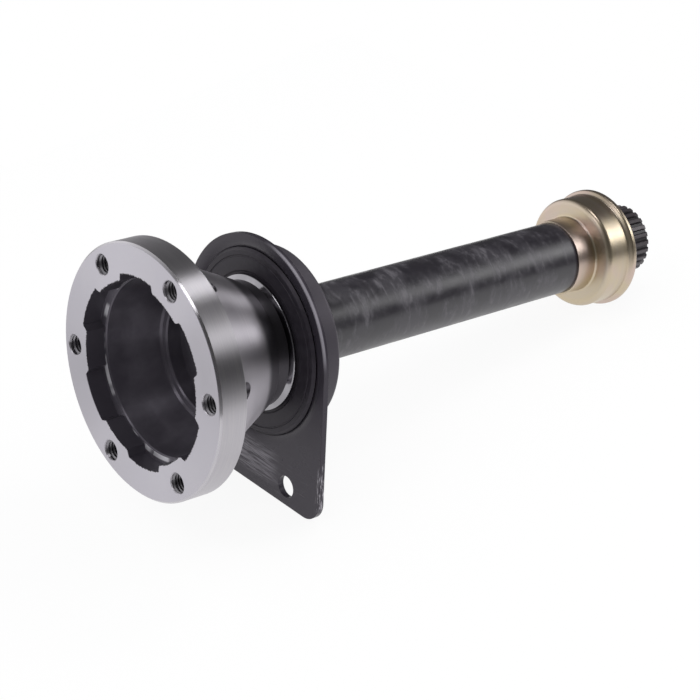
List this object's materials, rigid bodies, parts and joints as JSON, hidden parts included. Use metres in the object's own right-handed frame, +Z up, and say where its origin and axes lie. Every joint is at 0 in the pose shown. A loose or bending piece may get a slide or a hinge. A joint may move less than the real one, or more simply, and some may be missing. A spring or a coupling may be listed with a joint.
{
  "type": "drive shaft",
  "caption": "Intermediate drive shaft: cupped bolt flange, hub turning in a bearing held by a pressed bracket, black bar, sheet-metal dust cap and splined end.",
  "frame": {"origin": "centre of the drive flange's mating face, on the shaft axis", "axes": "+X along the shaft axis from the mating face to the splined end; +Z up, away from the bracket's foot; +Y completes a right-handed frame"},
  "size_m": [0.262, 0.1, 0.1093],
  "materials": {
    "forged_steel": "ground face and turned rim, dark oiled hub",
    "bare_steel": "satin",
    "bearing_steel": "ground",
    "spring_steel": "black phosphate",
    "bracket_paint": "semi-gloss black",
    "bar_paint": "satin black with scuffs",
    "yellow_zinc": "yellow passivated zinc, satin",
    "seal_rubber": "matte"
  },
  "bodies": {
    "bracket": {"bearing_bracket": "bracket_paint", "bearing_outer_ring": "bearing_steel", "bearing_seal_front": "seal_rubber", "bearing_seal_rear": "seal_rubber", "front_dust_seal": "seal_rubber"},
    "shaft": {"drive_flange": "forged_steel", "shaft_bar": "bar_paint", "spline_dust_cap": "yellow_zinc", "slinger_ring": "bare_steel", "bearing_inner_ring": "bearing_steel", "shaft_circlip": "spring_steel"},
    "cage": {"cage_front": "bare_steel", "cage_rear": "bare_steel", "cage_rivets": "bare_steel", "ball_1": "bearing_steel", "ball_2": "bearing_steel", "ball_3": "bearing_steel", "ball_4": "bearing_steel", "ball_5": "bearing_steel", "ball_6": "bearing_steel", "ball_7": "bearing_steel", "ball_8": "bearing_steel", "ball_9": "bearing_steel", "ball_10": "bearing_steel", "ball_11": "bearing_steel", "ball_12": "bearing_steel"}
  },
  "joints": [
    {"name": "shaft_spin", "type": "hinge", "parent": "bracket", "child": "shaft", "pos_m": [0, 0, 0], "axis": [1, 0, 0], "continuous": true},
    {"name": "cage_spin", "type": "hinge", "parent": "bracket", "child": "cage", "pos_m": [0, 0, 0], "axis": [1, 0, 0], "continuous": true}
  ],
  "couplings": [
    {"joint": "cage_spin", "follows": "shaft_spin", "ratio": 0.4403}
  ]
}
